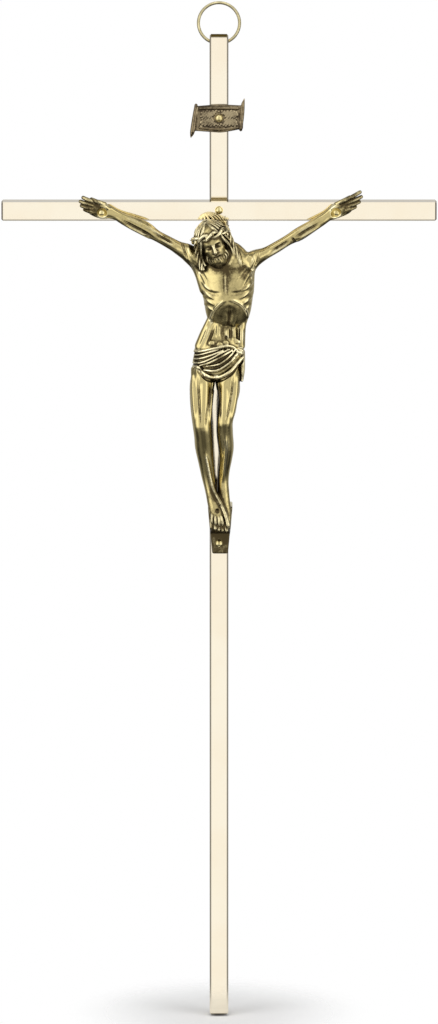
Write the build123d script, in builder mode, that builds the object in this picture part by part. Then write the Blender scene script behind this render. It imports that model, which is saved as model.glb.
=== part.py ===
"""Wall crucifix: two square bars lapped and riveted, a cast figure, a scroll plate and a hanging ring.

Millimetres. The origin lies on the wall plane, straight behind the ring's pivot in the upright.
Z points up, X to the viewer's right, and the front faces minus Y. Left and right are the viewer's.
"""
import os
from math import cos, radians, sin, sqrt

from build123d import *

# Bars
bar_side = 4.76
upright_length = 254.0
crossbar_length = 110.0
upright_above_crossbar = 44.0  # from the crossbar's centre line up to the upright's top
bar_edge_chamfer = 0.4

# Hanging ring of round wire, threaded through a cross hole in the upright
ring_radius = 5.2  # to the middle of the wire
ring_wire_radius = 0.4
ring_wire_sides = 12
ring_hole_below_top = 1.8
ring_hole_clearance = 0.1

# Rivets, one size throughout
rivet_head_radius = 1.05
rivet_head_height = 0.75
rivet_shank_radius = 0.65
rivet_tail_radius = 1.0
rivet_clearance = 0.05
rivet_sink_angle = 90.0
crossing_rivet_raise = 0.4  # above the crossbar's centre line

# Scroll plate above the crossbar
titulus_width = 12.0
titulus_height = 6.8
titulus_thickness = 1.1
titulus_above_crossbar = 23.3
titulus_corner_radius = 0.5
scroll_wide_radius = 0.8
scroll_narrow_radius = 0.6

# Cast figure
figure_height = 80.0  # crown of the head to the toes
figure_depth = 9.0  # back plane to the breastbone
figure_top_drop = 0.9  # crown of the head below the crossbar's centre line
hand_rivet_reach = 29.6  # from the centre line to each hand's rivet
hand_seat_depth = 1.3  # palm under a rivet head
hand_recess_radius = 1.4
section_sides = 12  # facets round the body and limbs
finger_root_radius = 0.5
finger_tip_radius = 0.3
finger_sides = 8

# Head of the figure
head_height = 10.6
head_width = 8.4
head_depth = 8.8
head_tilt = 20.0
head_bow = 5.0
crown_lift = 10.0  # how much higher the crown sits in front, as an angle
crown_radius = 4.4
crown_thickness = 0.85
crown_sides = 6

# Foot block, which spaces the feet from the upright
block_height = 13.0
block_top_width = 6.3
block_bottom_width = 4.0
block_offset = 0.3  # to the right of the upright's centre line
block_below_toes = 7.7
foot_seat_depth = 3.2  # block under the foot rivet's head
foot_rivet_rise = 2.7  # above the block's bottom

# Levels and planes
upright_top = ring_hole_below_top
crossing_level = upright_top - upright_above_crossbar
upright_front = -bar_side
crossbar_front = upright_front - bar_side
figure_top = crossing_level - figure_top_drop
block_bottom = figure_top - figure_height - block_below_toes
foot_rivet_level = block_bottom + foot_rivet_rise
titulus_level = crossing_level + titulus_above_crossbar
crossing_rivet_level = crossing_level + crossing_rivet_raise
hand_seat = crossbar_front - hand_seat_depth
foot_seat = upright_front - foot_seat_depth

# The wire curves inside its straight hole, so the hole clears the wire's sag at the middle and mouths
ring_chord_height = sqrt(ring_radius**2 - (bar_side / 2) ** 2)
ring_sag = (ring_radius - ring_chord_height) / 2
ring_hole_radius = ring_sag + ring_wire_radius * ring_radius / ring_chord_height + ring_hole_clearance
ring_centre = ring_radius - ring_sag


def front_plane(across, y, level):
    """Upright drawing plane at depth y: its own Y is world Z and its normal points to the front."""
    return Plane(origin=(across, y, level), x_dir=(1, 0, 0), z_dir=(0, -1, 0))


def back_plane(across, y, level):
    """Upright plane at depth y whose normal points to the wall."""
    return Plane(origin=(across, y, level), x_dir=(-1, 0, 0), z_dir=(0, 1, 0))


def figure_point(down, across, depth):
    """A point of the figure from shares of its height, height and depth."""
    return Vector(
        across * figure_height,
        crossbar_front - depth * figure_depth,
        figure_top - down * figure_height,
    )


def arm_point(down, reach, depth):
    """A point of an arm, its place across a share of the distance to the hand's rivet."""
    return Vector(
        reach * hand_rivet_reach,
        crossbar_front - depth * figure_depth,
        figure_top - down * figure_height,
    )


def oval(half_across, half_deep):
    """A faceted ellipse drawn in the open sketch."""
    turns = [radians(360 * corner / section_sides) for corner in range(section_sides)]
    Polygon(*[(half_across * cos(turn), half_deep * sin(turn)) for turn in turns], align=None)


def make_rivet(across, level, seat, tail):
    """Domed head on the seat plane, shank through the bars, countersunk tail flush with the tail plane."""
    grip = tail - seat
    dome = (rivet_head_radius**2 + rivet_head_height**2) / (2 * rivet_head_height)
    sink = rivet_tail_radius - rivet_shank_radius
    with BuildPart() as rivet:
        with BuildSketch(Plane(origin=(across, seat, level), x_dir=(1, 0, 0), z_dir=(0, 0, 1))):
            with BuildLine():
                RadiusArc((0, -rivet_head_height), (rivet_head_radius, 0), -dome)
                Polyline(
                    (rivet_head_radius, 0),
                    (rivet_shank_radius, 0),
                    (rivet_shank_radius, grip - sink),
                    (rivet_tail_radius, grip),
                    (0, grip),
                    (0, -rivet_head_height),
                )
            make_face()
        revolve(axis=Axis((across, seat, level), (0, 1, 0)))
    return rivet.part


# Upright
with BuildPart() as upright:
    with Locations((0, upright_front / 2, upright_top - upright_length / 2)):
        Box(bar_side, bar_side, upright_length)
    chamfer(upright.edges(), bar_edge_chamfer)
    with Locations((0, upright_front / 2, 0)):
        Cylinder(ring_hole_radius, bar_side, rotation=(0, 90, 0), mode=Mode.SUBTRACT)
    for level in (crossing_rivet_level, titulus_level, foot_rivet_level):
        with Locations(back_plane(0, 0, level)):
            CounterSinkHole(
                rivet_shank_radius + rivet_clearance,
                rivet_tail_radius + rivet_clearance,
                depth=bar_side,
                counter_sink_angle=rivet_sink_angle,
            )
upright.part.label = "upright"

# Crossbar, lying on the front of the upright
with BuildPart() as crossbar:
    with Locations((0, upright_front - bar_side / 2, crossing_level)):
        Box(crossbar_length, bar_side, bar_side)
    chamfer(crossbar.edges(), bar_edge_chamfer)
    with Locations(back_plane(0, upright_front, crossing_rivet_level)):
        Hole(rivet_shank_radius + rivet_clearance, depth=bar_side)
    for across in (-hand_rivet_reach, hand_rivet_reach):
        with Locations(back_plane(across, upright_front, crossing_level)):
            CounterSinkHole(
                rivet_shank_radius + rivet_clearance,
                rivet_tail_radius + rivet_clearance,
                depth=bar_side,
                counter_sink_angle=rivet_sink_angle,
            )
crossbar.part.label = "crossbar"

# Hanging ring
with BuildPart() as hanging_ring:
    with BuildSketch(Plane(origin=(0, upright_front / 2, ring_centre), x_dir=(1, 0, 0), z_dir=(0, 0, 1))):
        with Locations((ring_radius, 0)):
            RegularPolygon(ring_wire_radius, ring_wire_sides)
    revolve(axis=Axis((0, upright_front / 2, ring_centre), (0, 1, 0)))
hanging_ring.part.label = "hanging_ring"

# Scroll plate: a flat-backed sheet whose slanting ends roll forward
# Each end: across and up at its foot, across and up at its head, as shares of the half width and height
left_scroll_shares = (-1.10, -0.66, -0.95, 0.44)
right_scroll_shares = (0.90, -0.44, 0.97, 0.74)
with BuildPart() as titulus:
    with BuildSketch(front_plane(0, upright_front, titulus_level)):
        Rectangle(titulus_width, titulus_height)
    extrude(amount=titulus_thickness)
    fillet(titulus.edges().filter_by(Axis.Y), titulus_corner_radius)
    for shares, foot_radius, head_radius in (
        (left_scroll_shares, scroll_wide_radius, scroll_narrow_radius),
        (right_scroll_shares, scroll_narrow_radius, scroll_wide_radius),
    ):
        foot_across, foot_up, head_across, head_up = shares
        foot = Vector(
            foot_across * titulus_width / 2,
            upright_front - scroll_wide_radius,
            titulus_level + foot_up * titulus_height,
        )
        head = Vector(
            head_across * titulus_width / 2,
            upright_front - scroll_wide_radius,
            titulus_level + head_up * titulus_height,
        )
        with BuildSketch(Plane(origin=foot, z_dir=head - foot)):
            Circle(foot_radius)
        with BuildSketch(Plane(origin=head, z_dir=head - foot)):
            Circle(head_radius)
        loft()
    with Locations(back_plane(0, upright_front, titulus_level)):
        Hole(rivet_shank_radius + rivet_clearance)
titulus.part.label = "titulus"

# Trunk of the figure in its loincloth, and the legs
# Rows: down and across as shares of the height, half width of the height, half depth and depth of the depth
trunk_shares = (
    (0.122, 0.004, 0.022, 0.20, 0.43),
    (0.145, 0.013, 0.084, 0.41, 0.43),
    (0.180, 0.022, 0.088, 0.51, 0.47),
    (0.225, 0.026, 0.081, 0.54, 0.47),
    (0.265, 0.027, 0.077, 0.51, 0.47),
    (0.300, 0.028, 0.069, 0.42, 0.42),
    (0.335, 0.023, 0.060, 0.36, 0.38),
    (0.375, 0.010, 0.067, 0.40, 0.41),
    (0.410, 0.002, 0.075, 0.45, 0.45),
    (0.445, -0.002, 0.078, 0.49, 0.47),
    (0.485, -0.004, 0.079, 0.49, 0.48),
    (0.510, -0.008, 0.070, 0.44, 0.50),
    (0.522, -0.012, 0.045, 0.34, 0.55),
)
left_leg_shares = (
    (0.451, -0.036, 0.026, 0.28, 0.48),
    (0.490, -0.047, 0.034, 0.34, 0.52),
    (0.5275, -0.0545, 0.037, 0.37, 0.56),
    (0.570, -0.056, 0.037, 0.355, 0.62),
    (0.6125, -0.0545, 0.0345, 0.335, 0.71),
    (0.656, -0.052, 0.0315, 0.31, 0.78),
    (0.695, -0.049, 0.030, 0.29, 0.69),
    (0.7325, -0.0457, 0.030, 0.29, 0.58),
    (0.780, -0.0406, 0.026, 0.245, 0.48),
    (0.830, -0.034, 0.022, 0.20, 0.41),
    (0.876, -0.026, 0.0185, 0.178, 0.40),
    (0.9225, -0.015, 0.022, 0.167, 0.48),
    (0.956, -0.0055, 0.0275, 0.133, 0.55),
    (0.978, 0.000, 0.028, 0.09, 0.60),
)
right_leg_shares = (
    (0.451, 0.034, 0.026, 0.28, 0.48),
    (0.500, 0.034, 0.034, 0.33, 0.51),
    (0.549, 0.030, 0.036, 0.355, 0.56),
    (0.580, 0.0267, 0.0325, 0.333, 0.63),
    (0.610, 0.0237, 0.030, 0.31, 0.71),
    (0.644, 0.018, 0.0265, 0.29, 0.78),
    (0.686, 0.018, 0.0265, 0.278, 0.67),
    (0.734, 0.022, 0.025, 0.267, 0.53),
    (0.7725, 0.0205, 0.0213, 0.233, 0.43),
    (0.8125, 0.0158, 0.019, 0.19, 0.33),
    (0.8525, 0.0113, 0.0175, 0.167, 0.27),
    (0.901, 0.0125, 0.020, 0.144, 0.29),
    (0.956, 0.0138, 0.0238, 0.122, 0.37),
    (0.990, 0.0125, 0.0238, 0.078, 0.43),
)
with BuildPart() as trunk_and_legs:
    for rows in (trunk_shares, left_leg_shares, right_leg_shares):
        for down, across, half_width, half_depth, depth in rows:
            with BuildSketch(Plane(origin=figure_point(down, across, depth))):
                oval(half_width * figure_height, half_depth * figure_depth)
        loft(ruled=True)

# Arms with their palms
# Rows: down of the height, reach of the hand's rivet, depth, half height of the height, half depth
left_arm_shares = (
    (0.130, -0.180, 0.41, 0.0300, 0.32),
    (0.109, -0.274, 0.40, 0.0256, 0.244),
    (0.096, -0.348, 0.37, 0.0203, 0.200),
    (0.079, -0.436, 0.32, 0.0181, 0.172),
    (0.059, -0.537, 0.29, 0.0178, 0.161),
    (0.0365, -0.632, 0.27, 0.0235, 0.183),
    (0.0205, -0.733, 0.23, 0.0213, 0.167),
    (0.0075, -0.818, 0.20, 0.0173, 0.133),
    (-0.004, -0.878, 0.17, 0.0156, 0.117),
    (-0.0175, -0.997, 0.14, 0.0255, 0.117),
    (-0.026, -1.074, 0.14, 0.0245, 0.100),
    (-0.034, -1.115, 0.14, 0.0205, 0.078),
)
right_arm_shares = (
    (0.145, 0.215, 0.41, 0.0300, 0.32),
    (0.1275, 0.314, 0.40, 0.0250, 0.244),
    (0.114, 0.399, 0.37, 0.0188, 0.194),
    (0.095, 0.493, 0.32, 0.0175, 0.167),
    (0.0725, 0.595, 0.29, 0.0169, 0.156),
    (0.055, 0.682, 0.27, 0.0210, 0.172),
    (0.0325, 0.784, 0.23, 0.0194, 0.156),
    (0.011, 0.878, 0.20, 0.0171, 0.128),
    (-0.0015, 0.929, 0.17, 0.0170, 0.117),
    (-0.0175, 1.005, 0.14, 0.0240, 0.117),
    (-0.028, 1.081, 0.14, 0.0235, 0.100),
    (-0.037, 1.122, 0.14, 0.0200, 0.078),
)
# Fingers and thumb: root down and reach, tip down and reach
finger_shares = (
    (-0.041, -1.081, -0.0625, -1.159),
    (-0.035, -1.101, -0.045, -1.186),
    (-0.026, -1.101, -0.031, -1.176),
    (-0.0175, -1.088, -0.019, -1.142),
    (-0.035, -0.946, -0.0525, -1.068),
    (-0.0475, 1.088, -0.079, 1.203),
    (-0.040, 1.108, -0.0575, 1.213),
    (-0.031, 1.111, -0.039, 1.193),
    (-0.021, 1.098, -0.021, 1.155),
    (-0.035, 0.966, -0.054, 1.095),
)
finger_depth_share = 0.14
finger_bend_share = 0.7
with BuildPart() as arms:
    for rows in (left_arm_shares, right_arm_shares):
        for index, (down, reach, depth, half_height, half_depth) in enumerate(rows):
            before = arm_point(*rows[max(index - 1, 0)][:3])
            after = arm_point(*rows[min(index + 1, len(rows) - 1)][:3])
            with BuildSketch(Plane(arm_point(down, reach, depth), x_dir=(0, 1, 0), z_dir=after - before)):
                oval(half_depth * figure_depth, half_height * figure_height)
        loft(ruled=True)
    for root_down, root_reach, tip_down, tip_reach in finger_shares:
        root = arm_point(root_down, root_reach, finger_depth_share)
        tip = arm_point(tip_down, tip_reach, finger_depth_share)
        with BuildSketch(Plane(origin=root, z_dir=tip - root)):
            RegularPolygon(finger_root_radius, finger_sides)
        with BuildSketch(Plane(origin=root + (tip - root) * finger_bend_share, z_dir=tip - root)):
            RegularPolygon(finger_root_radius, finger_sides)
        with BuildSketch(Plane(origin=tip, z_dir=tip - root)):
            RegularPolygon(finger_tip_radius, finger_sides)
        loft(ruled=True)

# Head, hair, beard and the twisted crown
head_centre_shares = (0.075, -0.019, 0.68)
head_centre = figure_point(*head_centre_shares)
head_plane = Plane(origin=head_centre).rotated((head_bow, -head_tilt, 0))
crown_plane = Plane(origin=head_centre).rotated((head_bow - crown_lift, -head_tilt, 0))
# Rows: up of the head's height, half width of its width, half depth and place back of its depth
face_shares = (
    (-0.61, 0.07, 0.06, -0.24),
    (-0.52, 0.17, 0.16, -0.25),
    (-0.38, 0.29, 0.26, -0.18),
    (-0.16, 0.37, 0.36, -0.11),
    (0.06, 0.40, 0.40, -0.08),
    (0.24, 0.32, 0.32, -0.03),
    (0.36, 0.18, 0.18, 0.03),
)
hair_shares = (
    (-0.72, 0.42, 0.24, 0.26),
    (-0.45, 0.54, 0.34, 0.18),
    (-0.10, 0.55, 0.42, 0.12),
    (0.20, 0.54, 0.48, 0.06),
    (0.40, 0.44, 0.42, 0.05),
    (0.51, 0.26, 0.26, 0.04),
    (0.56, 0.10, 0.10, 0.04),
)
nose_shares = (
    (-0.14, 0.09, 0.09, -0.48),
    (0.02, 0.06, 0.08, -0.46),
    (0.14, 0.04, 0.06, -0.40),
)
crown_up_share = 0.20
crown_back_share = 0.06
# Locks of hair and the neck: down, across, depth and radius of the height
lock_shares = (
    ((0.069, -0.060, 0.49, 0.018), (0.116, -0.062, 0.62, 0.017), (0.160, -0.052, 0.76, 0.011)),
    ((0.056, 0.027, 0.49, 0.019), (0.099, 0.052, 0.56, 0.019), (0.142, 0.065, 0.65, 0.011)),
    ((0.090, -0.004, 0.46, 0.026), (0.120, 0.002, 0.43, 0.026), (0.150, 0.008, 0.42, 0.026)),
)
with BuildPart() as head:
    for rows in (hair_shares, face_shares, nose_shares):
        for up, half_width, half_depth, back in rows:
            place = head_plane.from_local_coords((0, back * head_depth, up * head_height))
            with BuildSketch(Plane(place, x_dir=head_plane.x_dir, z_dir=head_plane.z_dir)):
                oval(half_width * head_width, half_depth * head_depth)
        loft(ruled=True)
    for rows in lock_shares:
        for down, across, depth, radius in rows:
            with BuildSketch(Plane(origin=figure_point(down, across, depth))):
                oval(radius * figure_height, radius * figure_height)
        loft(ruled=True)
    place = crown_plane.from_local_coords((0, crown_back_share * head_depth, crown_up_share * head_height))
    with BuildSketch(Plane(place, x_dir=crown_plane.x_dir, z_dir=crown_plane.y_dir)):
        with Locations((crown_radius, 0)):
            RegularPolygon(crown_thickness, crown_sides)
    revolve(axis=Axis(place, crown_plane.z_dir))

# Folds of the loincloth, drawn round the hips to a knot on the right, and its hanging end
# Rows: down, half width and half depth round the hips, radius, as shares; then lean and tilt in degrees
fold_shares = (
    (0.428, 0.075, 0.50, 0.012, 0.0, 4.0),
    (0.439, 0.077, 0.53, 0.013, 16.0, 9.0),
    (0.448, 0.078, 0.60, 0.013, 34.0, 13.0),
    (0.455, 0.078, 0.74, 0.014, 49.0, 18.0),
)
fold_across_share = -0.002
fold_depth_share = 0.47
fold_start_turn = 188.0
fold_sweep_turn = 164.0
fold_sides = 6
# The hanging end: down, across, depth, half width of the height and half depth
cloth_tail_shares = (
    (0.430, 0.068, 0.52, 0.016, 0.22),
    (0.480, 0.077, 0.50, 0.013, 0.22),
    (0.532, 0.073, 0.48, 0.011, 0.20),
)
with BuildPart() as loincloth:
    for down, across, depth, half_width, half_depth in cloth_tail_shares:
        with BuildSketch(Plane(origin=figure_point(down, across, depth))):
            oval(half_width * figure_height, half_depth * figure_depth)
    loft(ruled=True)
    for down, half_width, half_depth, radius, lean, tilt in fold_shares:
        hip_centre = figure_point(down, fold_across_share, fold_depth_share)
        hips = Plane(origin=hip_centre).rotated((lean, -tilt, 0))
        with BuildLine(hips) as fold:
            EllipticalCenterArc(
                (0, 0),
                half_width * figure_height,
                half_depth * figure_depth,
                start_angle=fold_start_turn,
                arc_size=fold_sweep_turn,
            )
        with BuildSketch(Plane(origin=fold.line @ 0, z_dir=fold.line % 0)):
            RegularPolygon(radius * figure_height, fold_sides)
        sweep()

# Foot block: side outline from its top down to its bottom, depth in front of the upright and rise
# as shares of the rivet seat's depth and of the block's height, cut to a tapering front outline
block_side_shares = (
    (2.25, 1.00),
    (2.65, 0.58),
    (2.30, 0.48),
    (1.00, 0.42),
    (1.00, 0.06),
    (0.85, 0.00),
)
block_reach_share = 2.7
with BuildPart() as foot_block:
    with BuildSketch(front_plane(block_offset, upright_front, block_bottom)):
        with BuildLine():
            Polyline(
                (-block_bottom_width / 2, 0),
                (block_bottom_width / 2, 0),
                (block_top_width / 2, block_height),
                (-block_top_width / 2, block_height),
                close=True,
            )
        make_face()
    extrude(amount=block_reach_share * foot_seat_depth)
    with BuildSketch(Plane(origin=(0, upright_front, block_bottom), x_dir=(0, -1, 0), z_dir=(-1, 0, 0))):
        with BuildLine():
            outline = [(depth * foot_seat_depth, rise * block_height) for depth, rise in block_side_shares]
            Polyline((0, 0), (0, block_height), *outline, close=True)
        make_face()
    extrude(amount=block_top_width, both=True, mode=Mode.INTERSECT)

# The whole casting, flat where it lies on the crossbar's face, bored for its three rivets
with BuildPart() as corpus:
    add([trunk_and_legs.part, arms.part, head.part, loincloth.part])
    split(bisect_by=front_plane(0, crossbar_front, 0), keep=Keep.TOP)
    add(foot_block.part)
    for across in (-hand_rivet_reach, hand_rivet_reach):
        with Locations(front_plane(across, hand_seat, crossing_level)):
            Cylinder(
                hand_recess_radius,
                figure_depth,
                align=(Align.CENTER, Align.CENTER, Align.MIN),
                mode=Mode.SUBTRACT,
            )
            Hole(rivet_shank_radius + rivet_clearance)
    with Locations(front_plane(0, foot_seat, foot_rivet_level)):
        Hole(rivet_shank_radius + rivet_clearance, depth=foot_seat_depth)
corpus.part.label = "corpus"

# Rivets
crossing_rivet = make_rivet(0, crossing_rivet_level, crossbar_front, 0)
crossing_rivet.label = "crossing_rivet"
titulus_rivet = make_rivet(0, titulus_level, upright_front - titulus_thickness, 0)
titulus_rivet.label = "titulus_rivet"
left_hand_rivet = make_rivet(-hand_rivet_reach, crossing_level, hand_seat, upright_front)
left_hand_rivet.label = "left_hand_rivet"
right_hand_rivet = make_rivet(hand_rivet_reach, crossing_level, hand_seat, upright_front)
right_hand_rivet.label = "right_hand_rivet"
foot_rivet = make_rivet(0, foot_rivet_level, foot_seat, 0)
foot_rivet.label = "foot_rivet"

os.makedirs("parts", exist_ok=True)
export_step(upright.part, "parts/upright.step")
export_step(crossbar.part, "parts/crossbar.step")
export_step(hanging_ring.part, "parts/hanging_ring.step")
export_step(titulus.part, "parts/titulus.step")
export_step(corpus.part, "parts/corpus.step")
export_step(crossing_rivet, "parts/crossing_rivet.step")
export_step(titulus_rivet, "parts/titulus_rivet.step")
export_step(left_hand_rivet, "parts/left_hand_rivet.step")
export_step(right_hand_rivet, "parts/right_hand_rivet.step")
export_step(foot_rivet, "parts/foot_rivet.step")
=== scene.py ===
"""Looks of the wall crucifix: polished bars, hanging ring, scroll plate, cast figure and rivets.

Metres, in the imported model's frame: Z up, X to the viewer's right, the front faces minus Y.
"""
import math

import bpy
import numpy as np
import openvdb
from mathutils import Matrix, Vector


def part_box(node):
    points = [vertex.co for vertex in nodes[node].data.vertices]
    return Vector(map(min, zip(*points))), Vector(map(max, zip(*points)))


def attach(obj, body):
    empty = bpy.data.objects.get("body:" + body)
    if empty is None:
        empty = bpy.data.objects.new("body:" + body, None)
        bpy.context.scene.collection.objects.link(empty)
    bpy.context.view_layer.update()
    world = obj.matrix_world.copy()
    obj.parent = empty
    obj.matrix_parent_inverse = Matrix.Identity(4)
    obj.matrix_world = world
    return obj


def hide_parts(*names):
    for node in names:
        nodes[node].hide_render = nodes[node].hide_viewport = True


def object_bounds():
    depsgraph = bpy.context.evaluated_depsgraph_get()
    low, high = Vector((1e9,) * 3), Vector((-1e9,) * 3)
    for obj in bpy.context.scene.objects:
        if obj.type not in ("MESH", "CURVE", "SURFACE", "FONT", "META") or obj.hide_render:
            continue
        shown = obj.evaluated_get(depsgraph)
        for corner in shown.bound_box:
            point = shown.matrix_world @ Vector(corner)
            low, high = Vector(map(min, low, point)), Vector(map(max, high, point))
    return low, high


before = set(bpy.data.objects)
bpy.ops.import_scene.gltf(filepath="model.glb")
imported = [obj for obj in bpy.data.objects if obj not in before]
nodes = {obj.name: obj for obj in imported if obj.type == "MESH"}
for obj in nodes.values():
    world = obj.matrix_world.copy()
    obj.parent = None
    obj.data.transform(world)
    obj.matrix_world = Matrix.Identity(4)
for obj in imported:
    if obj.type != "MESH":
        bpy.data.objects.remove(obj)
cad_low, cad_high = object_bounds()

# Upright and crossbar
# Two lengths of drawn square brass bar, polished to a mirror and lacquered. The crossbar lies on the
# front of the upright and one rivet through both holds them. Polishing left their sawn ends duller. The
# crossbar's top beside the upright carries a painted reflection of the upright, darker and duller.
millimetre = 0.001


def srgb(red, green, blue):
    """A colour as an eye or a screen gives it, 0 to 255, made linear for a shader."""
    shares = [value / 255 for value in (red, green, blue)]
    linear = [s / 12.92 if s <= 0.04045 else ((s + 0.055) / 1.055) ** 2.4 for s in shares]
    return (*linear, 1.0)


def join(tree, made, sockets):
    """Links or sets a shader node's inputs."""
    for name, value in sockets.items():
        if isinstance(value, bpy.types.NodeSocket):
            tree.links.new(value, made.inputs[name])
        else:
            made.inputs[name].default_value = value


def put(tree, kind, sockets=None, **settings):
    """Adds a shader node to a tree, sets its options, and links or sets its inputs."""
    made = tree.nodes.new(kind)
    for name, value in settings.items():
        setattr(made, name, value)
    join(tree, made, sockets or {})
    return made


def compute(tree, operation, *values):
    """The result of a maths node on sockets and numbers."""
    return put(tree, "ShaderNodeMath", dict(enumerate(values)), operation=operation).outputs[0]


def mix(tree, share, first, second):
    """A colour between two others."""
    sockets = {"Factor": share, "A": first, "B": second}
    return put(tree, "ShaderNodeMix", sockets, data_type="RGBA").outputs["Result"]


def level(tree, value, start, full, low=0.0, high=1.0, kind="LINEAR"):
    """A level that goes from low to high as a value goes from its start to its full measure."""
    sockets = {"Value": value, "From Min": start, "From Max": full, "To Min": low, "To Max": high}
    return put(tree, "ShaderNodeMapRange", sockets, interpolation_type=kind).outputs["Result"]


def new_brass(name):
    """A metal's material still without colour, its node tree, its Principled shader and its place."""
    material = bpy.data.materials.new(name)
    material.use_nodes = True
    tree = material.node_tree
    tree.nodes.clear()
    shader = put(tree, "ShaderNodeBsdfPrincipled", {"Metallic": 1.0})
    put(tree, "ShaderNodeOutputMaterial", {"Surface": shader.outputs[0]})
    return material, tree, shader, put(tree, "ShaderNodeTexCoord").outputs["Object"]


def bumps(tree, height, strength, distance):
    """A normal that follows a height, over a distance in millimetres."""
    sockets = {"Height": height, "Strength": strength, "Distance": distance * millimetre}
    return put(tree, "ShaderNodeBump", sockets).outputs["Normal"]


def wear(node, material):
    """Gives a piece of the frame its finish."""
    node.data.materials.clear()
    node.data.materials.append(material)


def mottle_group():
    """Uneven tarnish: soft clouds with finer flecks in them, as a mask from 0 to 1."""
    group = bpy.data.node_groups.new("tarnish_mottle", "ShaderNodeTree")
    group.interface.new_socket("Vector", in_out="INPUT", socket_type="NodeSocketVector")
    group.interface.new_socket("Scale", in_out="INPUT", socket_type="NodeSocketFloat")
    group.interface.new_socket("Mask", in_out="OUTPUT", socket_type="NodeSocketFloat")
    entry = put(group, "NodeGroupInput").outputs
    sockets = {"Vector": entry["Vector"], "Scale": entry["Scale"], "Detail": 6.0, "Roughness": 0.62}
    clouds = put(group, "ShaderNodeTexNoise", sockets).outputs["Fac"]
    put(group, "NodeGroupOutput", {"Mask": level(group, clouds, 0.32, 0.68, kind="SMOOTHSTEP")})
    return group


tarnish_mottle = mottle_group()


def mottle(tree, vector, scale):
    """Places the tarnish group in a material and gives its mask."""
    sockets = {"Vector": vector, "Scale": scale}
    return put(tree, "ShaderNodeGroup", sockets, node_tree=tarnish_mottle).outputs["Mask"]


def bar_brass(name, along, ends, corner=None):
    """Lacquered mirror brass with fine lines along the bar, duller on the sawn ends, with a painted
    reflection in a corner.
    """
    material, tree, shader, place = new_brass(name)
    stretch = [1.0, 1.0, 1.0]
    stretch[along] = 0.02
    drawn = put(tree, "ShaderNodeMapping", {"Vector": place, "Scale": stretch}).outputs["Vector"]
    sockets = {"Vector": drawn, "Scale": 9000.0, "Detail": 3.0, "Roughness": 0.6}
    lines = put(tree, "ShaderNodeTexNoise", sockets).outputs["Fac"]
    polished = mix(tree, mottle(tree, place, 60.0), srgb(252, 243, 222), srgb(250, 238, 214))
    parts = put(tree, "ShaderNodeSeparateXYZ", {"Vector": place}).outputs
    low, high = ends
    half_length = (high - low) / 2
    reach = compute(tree, "ABSOLUTE", compute(tree, "SUBTRACT", parts[along], (low + high) / 2))
    dull_ends_and_painted_reflection = level(tree, reach, half_length - 0.35 * millimetre, half_length - 0.05 * millimetre)
    # Beside the upright, the crossbar's top gets a painted reflection of the upright: darker, yellower
    # brass.
    if corner:
        half_width, back, top = corner
        aside = compute(tree, "ABSOLUTE", parts["X"])
        across = level(tree, aside, half_width, half_width - 0.15 * millimetre)
        near = level(tree, parts["Y"], back - 3.0 * millimetre, back - 2.0 * millimetre)
        above = level(tree, parts["Z"], top - 0.3 * millimetre, top, 0.0, 0.85)
        painted_corner_reflection = compute(tree, "MULTIPLY", compute(tree, "MULTIPLY", across, near), above)
        dull_ends_and_painted_reflection = compute(tree, "MAXIMUM", dull_ends_and_painted_reflection, painted_corner_reflection)
    roughness = level(tree, lines, 0.0, 1.0, 0.05, 0.10)
    finish = {
        "Base Color": mix(tree, dull_ends_and_painted_reflection, polished, srgb(96, 86, 58)),
        "Specular Tint": mix(tree, dull_ends_and_painted_reflection, (1.0, 1.0, 1.0, 1.0), srgb(190, 172, 118)),
        "Roughness": compute(tree, "MULTIPLY_ADD", dull_ends_and_painted_reflection, 0.3, roughness),
        "Normal": bumps(tree, lines, 0.02, 0.02),
    }
    join(tree, shader, finish)
    return material


upright_low, upright_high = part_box("upright")
crossbar_low, crossbar_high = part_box("crossbar")
wear(nodes["upright"], bar_brass("polished_upright", 2, (upright_low.z, upright_high.z)))
# The crossbar's top where it meets the upright, which gets a painted reflection darker than the bar.
corner_before_upright = (upright_high.x, crossbar_high.y, crossbar_high.z)
wear(
    nodes["crossbar"],
    bar_brass("polished_crossbar", 0, (crossbar_low.x, crossbar_high.x), corner_before_upright),
)

# Hanging ring
# A ring of bright brass wire threaded through a cross hole near the upright's top. It swings freely.
# Handling leaves it a little greyer than the bars.


def wire_brass():
    """Bright brass wire, faintly greyed by handling."""
    material, tree, shader, place = new_brass("bright_wire")
    grime = mottle(tree, place, 700.0)
    colour = mix(tree, grime, srgb(234, 222, 178), srgb(192, 180, 138))
    join(tree, shader, {"Base Color": colour, "Roughness": level(tree, grime, 0.0, 1.0, 0.16, 0.3)})
    return material


wear(nodes["hanging_ring"], wire_brass())

# Scroll plate
# A small cast plate shaped as a strip of parchment whose slanting ends roll forward, riveted to the
# upright. Its field is bare, a pebbled ground between two border lines, in dark antique brass.
far_off = 100.0
band = 0.3


def tube(start, end):
    """A rounded rod between two rows: x, forward, z, half across and half deep."""
    start = np.array(start, np.float32)
    end = np.array(end, np.float32)
    along = end[:3] - start[:3]
    length_squared = np.float32(max(float(along @ along), 1e-9))
    grow = end[3:] - start[3:]
    widest = max(start[3:].max(), end[3:].max())
    is_round = start[3] == start[4] and end[3] == end[4]

    def distance(points):
        offset = points - start[:3]
        share = np.clip(offset @ along / length_squared, 0, 1)
        offset -= share[:, None] * along
        across = start[3] + share * grow[0]
        if is_round:
            return np.sqrt(np.einsum("ij,ij->i", offset, offset)) - across
        deep = start[4] + share * grow[1]
        side = (offset[:, 0] ** 2 + offset[:, 2] ** 2) / across**2
        forward = offset[:, 1] ** 2 / deep**2
        near = np.sqrt(side + forward)
        slope = np.sqrt(side / across**2 + forward / deep**2) + np.float32(1e-6)
        return near * (near - 1) / slope

    low = np.minimum(start[:3], end[:3]) - widest
    high = np.maximum(start[:3], end[:3]) + widest
    return low, high, distance


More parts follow.
